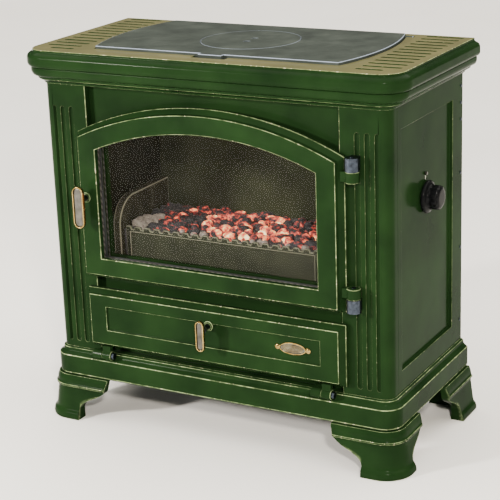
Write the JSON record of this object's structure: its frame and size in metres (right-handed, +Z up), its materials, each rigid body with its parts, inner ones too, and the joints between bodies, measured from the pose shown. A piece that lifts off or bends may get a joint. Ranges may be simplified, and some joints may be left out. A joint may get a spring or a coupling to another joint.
{
  "type": "wood burning stove",
  "caption": "Enamelled cast-iron stove on four bracket feet, with an arched glazed fire door, a drop-down ash door, a lift-up hot plate and a side thermostat knob.",
  "frame": {"origin": "on the floor, under the middle of the bounding box", "axes": "+X to the right as seen from the front, the side of the fire door's hinges and the knob; +Y from the front to the back; +Z up"},
  "size_m": [0.738, 0.441, 0.7045],
  "materials": {
    "green_enamel": "glossy vitreous enamel on cast iron",
    "bare_cast_iron": "ground and blackleaded cast iron",
    "sooty_iron": "soot-covered cast iron",
    "fireclay": null,
    "embers": null,
    "zinc_steel": "machined, zinc plated",
    "sheet_steel": "rolled sheet with heat-resistant black paint",
    "brass": "polished cast brass",
    "nickel": "brushed nickel plate",
    "ceramic_glass": "clear ceramic glass with an amber cast",
    "glass_fibre_rope": "knitted glass fibre rope, graphite grey",
    "bakelite": "moulded phenolic, glossy black"
  },
  "bodies": {
    "stove": {"foot_front_right": "green_enamel", "foot_front_left": "green_enamel", "foot_back_right": "green_enamel", "foot_back_left": "green_enamel", "plinth": "green_enamel", "base_sheet": "sheet_steel", "front_frame": "green_enamel", "side_panel_right": "green_enamel", "side_panel_left": "green_enamel", "back_panel": "sheet_steel", "flue_collar": "bare_cast_iron", "cornice": "green_enamel", "top_plate": "green_enamel", "firebox_back": "sooty_iron", "firebox_side_left": "sooty_iron", "firebox_side_right": "sooty_iron", "firebox_floor": "sooty_iron", "grate": "sooty_iron", "side_brick_right": "fireclay", "side_brick_left": "fireclay", "fuel_retainer": "sooty_iron", "ember_bed": "embers", "smoke_baffle": "sooty_iron", "ash_pan": "sheet_steel", "ash_shelf": "sheet_steel", "hinge_lug_upper": "zinc_steel", "hinge_lug_lower": "zinc_steel", "hinge_pin_upper": "zinc_steel", "hinge_pin_lower": "zinc_steel", "ash_hinge_lug_left": "green_enamel", "ash_hinge_lug_right": "green_enamel", "ash_hinge_pin_left": "zinc_steel", "ash_hinge_pin_right": "zinc_steel", "thermostat_housing": "sheet_steel", "index_stud": "nickel", "flap_bracket_left": "sheet_steel", "flap_bracket_right": "sheet_steel"},
    "fire_door": {"door_frame": "green_enamel", "glass_gasket": "glass_fibre_rope", "door_glass": "ceramic_glass", "glass_retaining_frame": "sheet_steel", "door_rope_seal": "glass_fibre_rope", "door_handle_escutcheon": "green_enamel"},
    "fire_door_handle": {"door_handle_grip": "brass", "door_handle_inlay": "nickel", "door_handle_spindle": "zinc_steel"},
    "ash_door": {"ash_door": "green_enamel", "ash_door_rope_seal": "glass_fibre_rope", "maker_badge": "brass", "ash_handle_escutcheon": "green_enamel"},
    "ash_door_handle": {"ash_handle_grip": "brass", "ash_handle_inlay": "nickel", "ash_handle_spindle": "zinc_steel"},
    "hot_plate": {"hot_plate": "bare_cast_iron"},
    "cooking_lid": {"cooking_lid": "bare_cast_iron"},
    "thermostat": {"thermostat_knob": "bakelite", "thermostat_shaft": "zinc_steel"},
    "air_flap": {"air_flap": "sheet_steel"}
  },
  "joints": [
    {"name": "fire_door_hinge", "type": "hinge", "parent": "stove", "child": "fire_door", "pos_m": [0.277, -0.1765, 0.44], "axis": [0, 0, 1], "range_deg": [0, 110]},
    {"name": "fire_door_handle_turn", "type": "hinge", "parent": "fire_door", "child": "fire_door_handle", "pos_m": [-0.2385, -0.2015, 0.442], "axis": [0, -1, 0], "range_deg": [0, 90]},
    {"name": "ash_door_hinge", "type": "hinge", "parent": "stove", "child": "ash_door", "pos_m": [0, -0.1765, 0.137], "axis": [1, 0, 0], "range_deg": [0, 90]},
    {"name": "ash_door_handle_turn", "type": "hinge", "parent": "ash_door", "child": "ash_door_handle", "pos_m": [0, -0.2015, 0.232], "axis": [0, -1, 0], "range_deg": [0, 90]},
    {"name": "hot_plate_hinge", "type": "hinge", "parent": "stove", "child": "hot_plate", "pos_m": [0, 0.1375, 0.697], "axis": [-1, 0, 0], "range_deg": [0, 85]},
    {"name": "cooking_lid_lift", "type": "slide", "parent": "hot_plate", "child": "cooking_lid", "axis": [0, 0, 1], "range_m": [0, 0.06]},
    {"name": "thermostat_turn", "type": "hinge", "parent": "stove", "child": "thermostat", "pos_m": [0.34, 0.0015, 0.453], "axis": [1, 0, 0], "range_deg": [0, 270]},
    {"name": "air_flap_swing", "type": "hinge", "parent": "stove", "child": "air_flap", "pos_m": [0.15, 0.1655, 0.256], "axis": [1, 0, 0], "range_deg": [0, 45]}
  ],
  "couplings": [
    {"joint": "air_flap_swing", "follows": "thermostat_turn", "ratio": 0.1666}
  ]
}
